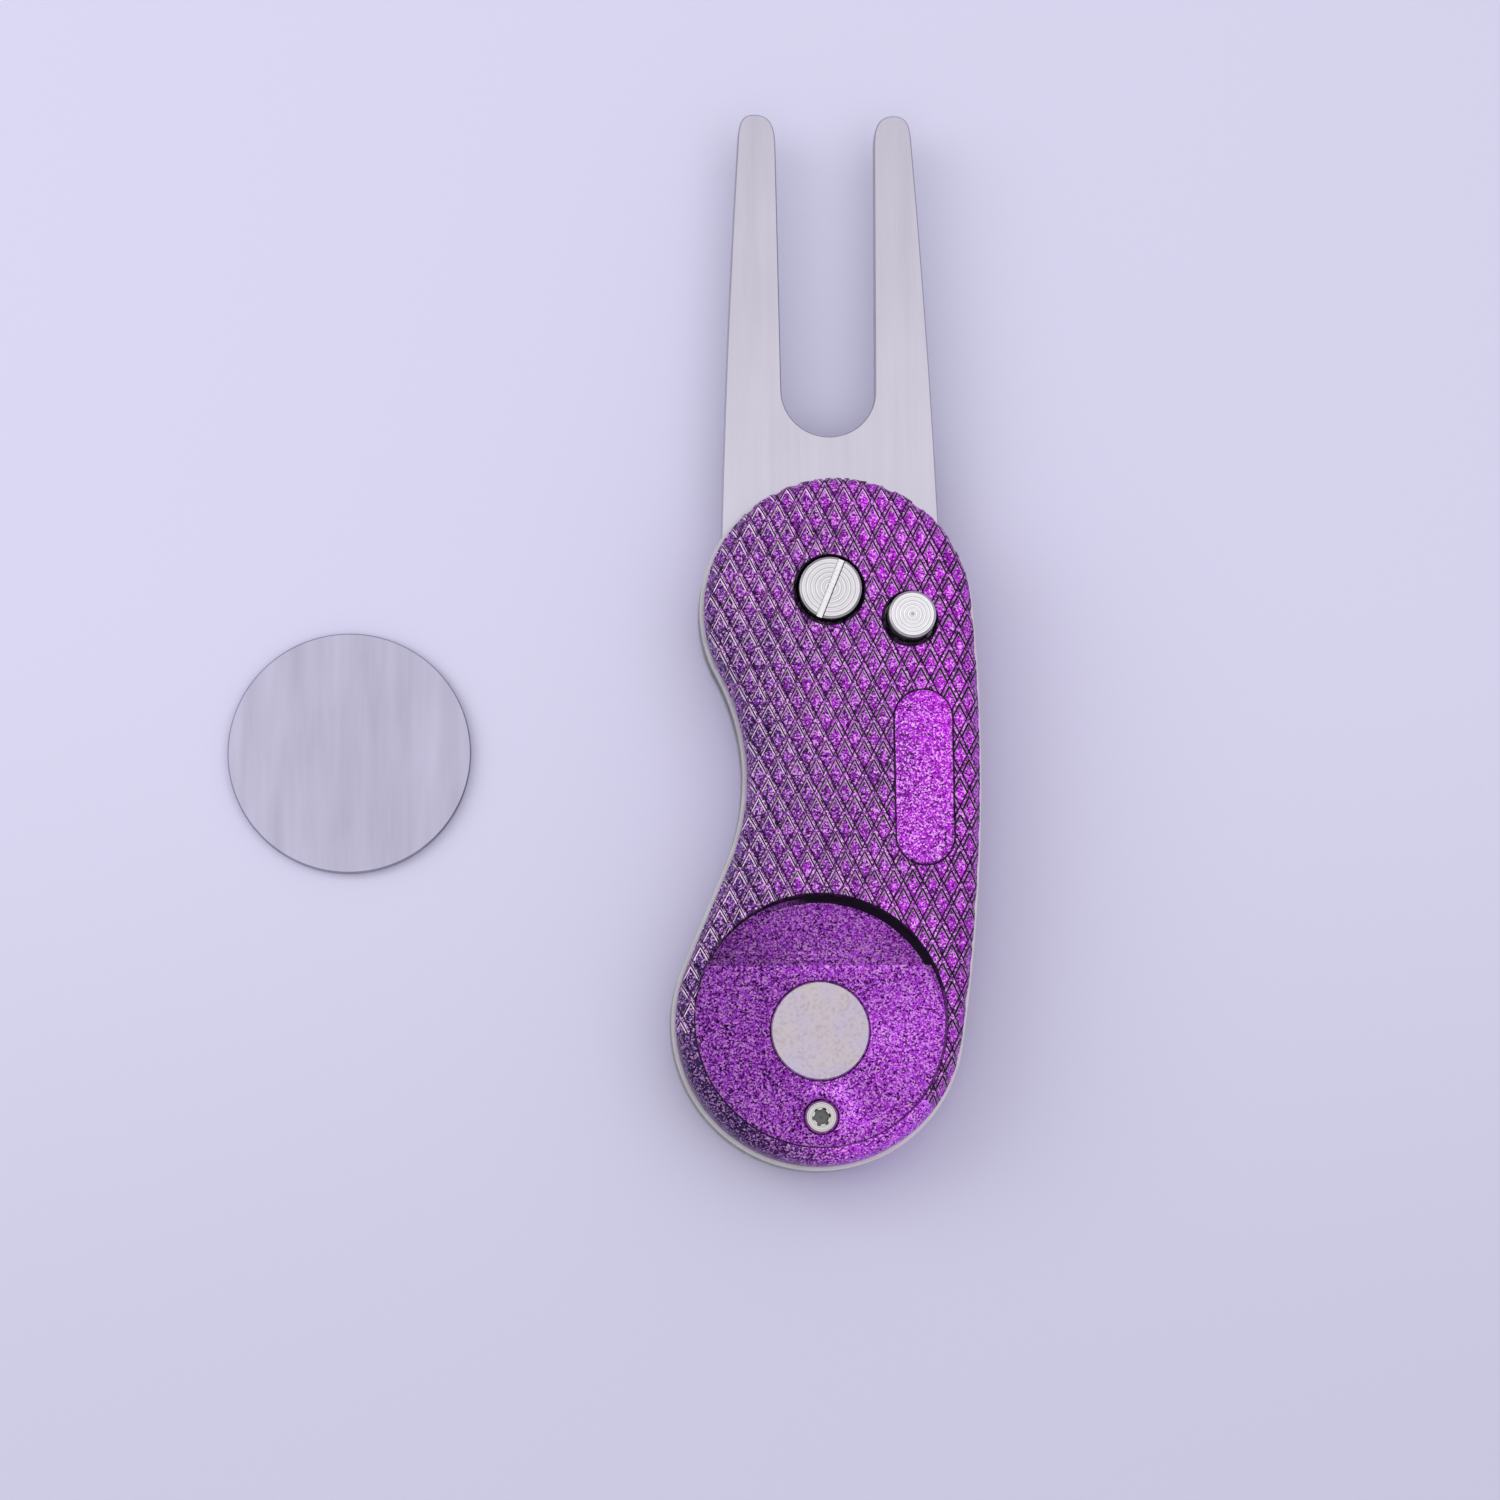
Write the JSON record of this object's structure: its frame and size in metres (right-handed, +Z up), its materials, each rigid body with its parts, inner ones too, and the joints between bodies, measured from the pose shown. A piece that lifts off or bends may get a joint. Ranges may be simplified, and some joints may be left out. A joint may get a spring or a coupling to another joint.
{
  "type": "divot repair tool",
  "caption": "Folding two-prong divot repair tool with a knurled curved handle, a side push button, a magnetic marker pocket and a loose round ball marker.",
  "frame": {"origin": "on the resting plane, on the axis of the marker pocket", "axes": "+Y towards the tips of the open fork, +X towards the spine edge, +Z up through the front cover"},
  "size_m": [0.0771, 0.1107, 0.0134],
  "materials": {
    "purple_cover": "metallic flake paint over a knurled zinc casting",
    "liner_steel": "satin",
    "fork_steel": "brushed along its length",
    "spacer_steel": "dull",
    "steel": "turned, fine concentric rings",
    "spring_steel": "drawn wire",
    "bronze": "plain bearing bronze",
    "nickel": "satin nickel plate",
    "marker_steel": "fine brushed, light scratches"
  },
  "bodies": {
    "handle": {"rear_cover": "purple_cover", "rear_liner": "liner_steel", "front_liner": "liner_steel", "front_cover": "purple_cover", "spine_spacer": "spacer_steel", "tail_spacer": "spacer_steel", "locating_pins": "steel", "pivot_screw": "steel", "pivot_nut": "steel", "pivot_sleeve": "steel", "pivot_washer_front": "bronze", "pivot_washer_rear": "bronze", "opening_spring": "spring_steel", "tail_screw": "steel", "tail_nut": "steel", "magnet": "nickel", "button_spring": "spring_steel"},
    "fork": {"fork": "fork_steel", "fork_bushing": "bronze"},
    "lock_button": {"lock_button": "steel", "button_clip": "steel"},
    "marker": {"ball_marker": "marker_steel"}
  },
  "joints": [
    {"name": "fork_fold", "type": "hinge", "parent": "handle", "child": "fork", "pos_m": [0.0015, 0.044, 0], "axis": [0, 0, 1], "range_deg": [0, 180], "stiffness_Nm_per_rad": 0.004, "springref_deg": -28.65},
    {"name": "button_press", "type": "slide", "parent": "handle", "child": "lock_button", "axis": [0, 0, -1], "range_m": [0, 0.0012], "stiffness_N_per_m": 500, "springref_m": -0.001, "deforming": ["button_spring"]},
    {"name": "marker_lift", "type": "slide", "parent": "handle", "child": "marker", "axis": [0, 0, 1], "range_m": [0, 0.03]}
  ]
}
